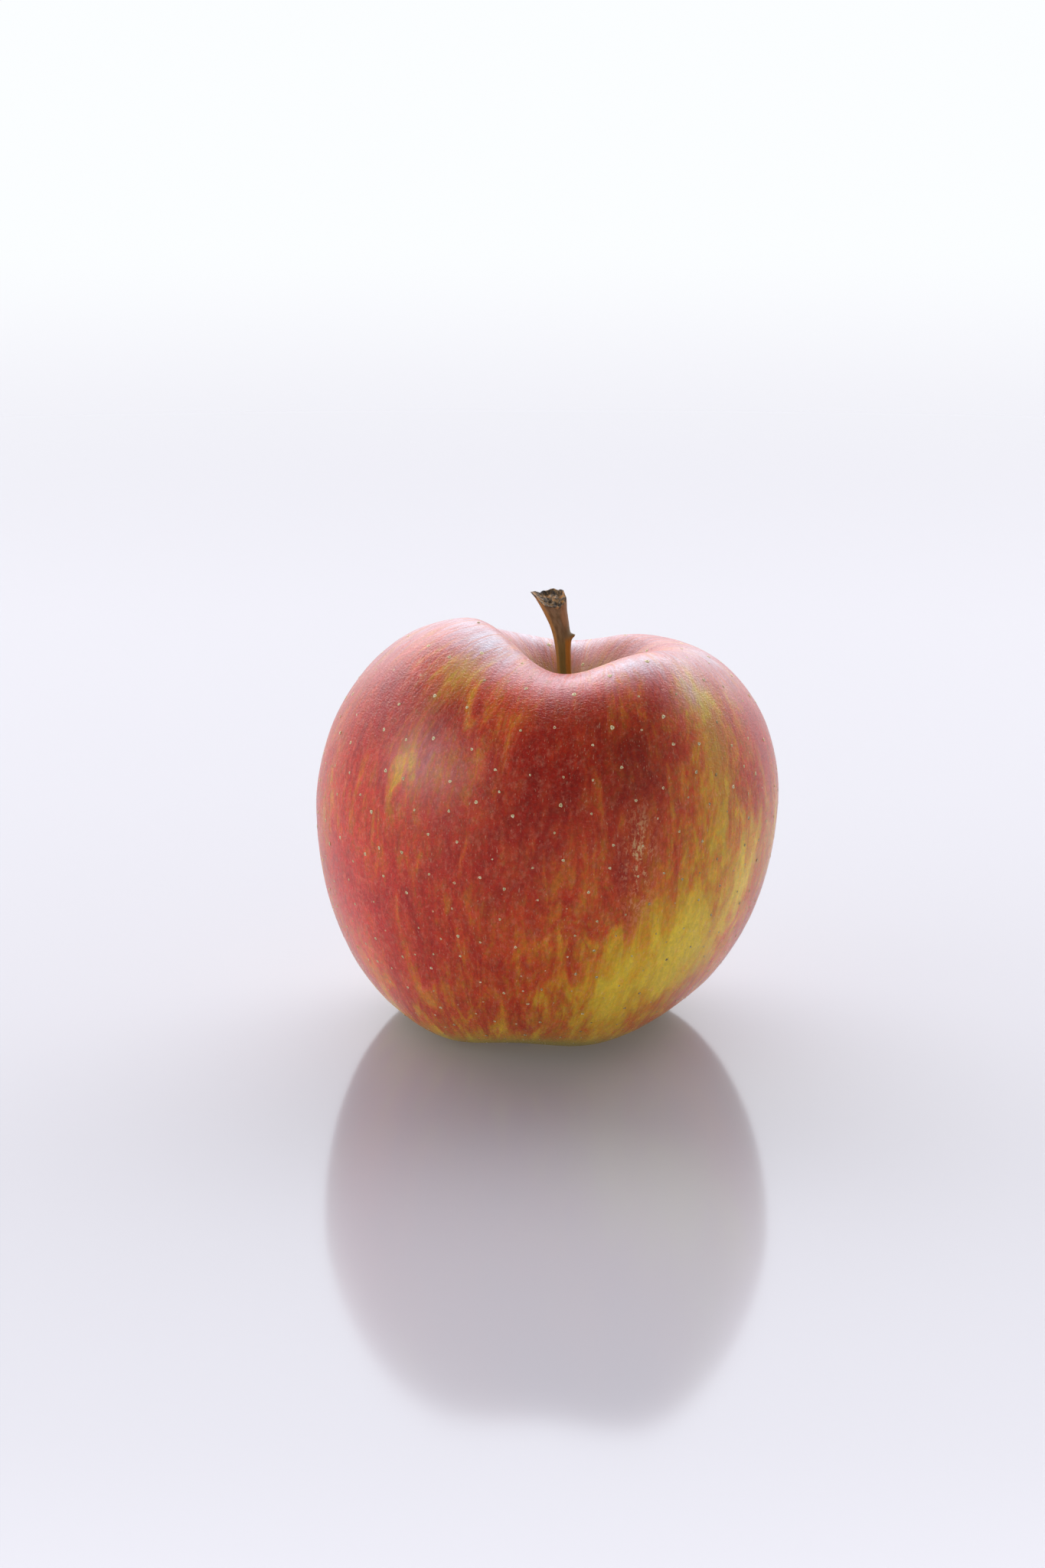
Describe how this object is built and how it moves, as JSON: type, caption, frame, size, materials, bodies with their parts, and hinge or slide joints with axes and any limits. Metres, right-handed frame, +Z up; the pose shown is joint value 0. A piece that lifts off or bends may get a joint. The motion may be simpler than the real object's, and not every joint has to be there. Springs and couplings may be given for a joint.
{
  "type": "apple",
  "caption": "Whole ripe apple with a lobed base, a deep stem cavity, a bent woody stem and the dried calyx in its basin, resting on flat spots.",
  "frame": {"origin": "middle of the fruit's footprint, on the surface that it stands on", "axes": "+Z up from the basin towards the stem cavity, +X to the right and +Y to the back as the picture shows it"},
  "size_m": [0.078, 0.076, 0.0749],
  "materials": {
    "apple_skin": "waxy, satin, red over yellow-green with streaks and pale dots",
    "stem_wood": "dry bark, olive to golden brown, dark torn end",
    "dried_sepal": "dry, matte, downy",
    "dried_stamens": "dry, matte, dark brown"
  },
  "bodies": {
    "root": {"fruit": "apple_skin", "stem": "stem_wood", "sepal_1": "dried_sepal", "sepal_2": "dried_sepal", "sepal_3": "dried_sepal", "sepal_4": "dried_sepal", "sepal_5": "dried_sepal", "stamens": "dried_stamens"}
  },
  "joints": []
}
